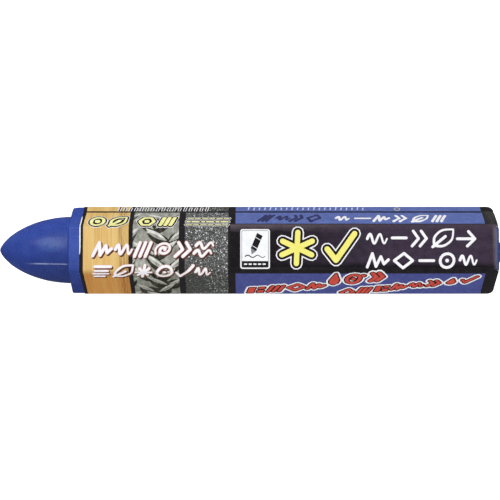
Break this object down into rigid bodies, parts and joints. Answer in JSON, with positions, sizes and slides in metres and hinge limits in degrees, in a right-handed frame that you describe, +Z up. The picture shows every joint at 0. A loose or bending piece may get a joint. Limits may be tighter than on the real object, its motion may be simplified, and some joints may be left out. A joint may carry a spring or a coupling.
{
  "type": "crayon",
  "caption": "Thick hexagonal wax marking crayon with a bullet nose, held in a wrapped printed film label that it slides forward through as it wears.",
  "frame": {"origin": "centre of the crayon's length and width, on the underside of the bottom flat it lies on", "axes": "+X from the nose to the flat rear end along the stick, nose towards -X; +Z up through the flat that carries the main panel; +Y across the stick, towards the lapped seam's face"},
  "size_m": [0.12, 0.0208, 0.0183],
  "materials": {
    "wax": "cast blue wax, soft sheen on the nose, duller on the shoulder",
    "printed_film": "glossy printed film, dark ground with wood, metal, concrete and blue panels",
    "clear_adhesive": "clear pressure adhesive, hidden in the lap"
  },
  "bodies": {
    "wrapper": {"wrapper": "printed_film", "seam_adhesive": "clear_adhesive"},
    "stick": {"wax_stick": "wax"}
  },
  "joints": [
    {"name": "stick_slide", "type": "slide", "parent": "wrapper", "child": "stick", "axis": [-1, 0, 0], "range_m": [0, 0.08]}
  ]
}
